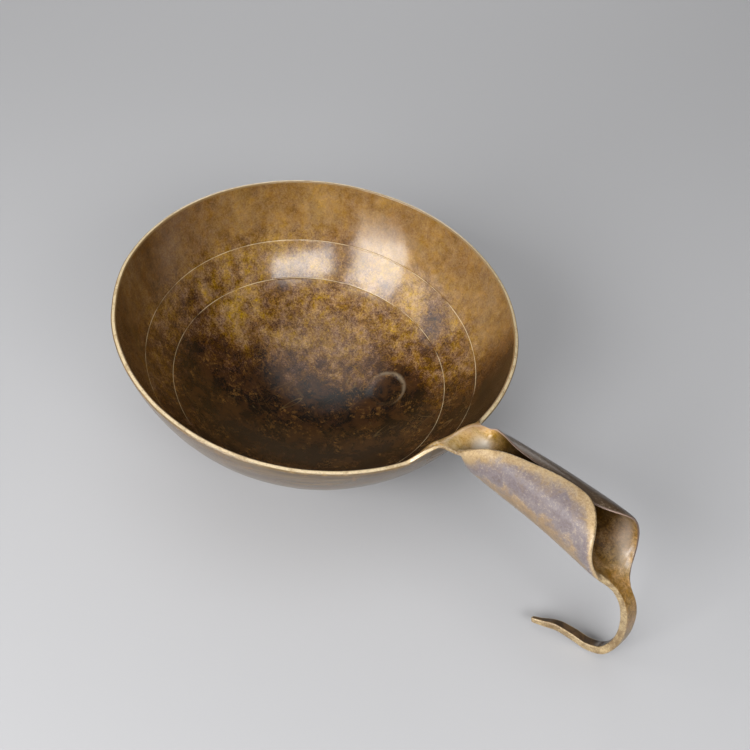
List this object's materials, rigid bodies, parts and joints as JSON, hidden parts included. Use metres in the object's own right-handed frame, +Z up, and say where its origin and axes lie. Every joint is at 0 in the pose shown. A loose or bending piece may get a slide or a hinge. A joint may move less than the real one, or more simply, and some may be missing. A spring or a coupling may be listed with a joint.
{
  "type": "water dipper",
  "caption": "Round-bottomed beaten brass water dipper whose rim runs out into a rolled, tapered socket handle that ends in a bent hanging hook.",
  "frame": {"origin": "on the table, under the middle of the bounding box, with the dipper lying tipped on its bowl and its hook", "axes": "+X from the bowl towards the handle and the hook, +Y across the bowl, +Z up from the table"},
  "size_m": [0.3058, 0.2044, 0.0988],
  "materials": {
    "bowl_brass": "dark brown patina, worn bright at the rim and along the turned lines",
    "handle_brass": "golden brown patina, worn bright along the flaps' edges",
    "hook_brass": "golden brown, rubbed bright on the side faces"
  },
  "bodies": {
    "root": {"bowl": "bowl_brass", "handle": "handle_brass", "hook": "hook_brass"}
  },
  "joints": []
}
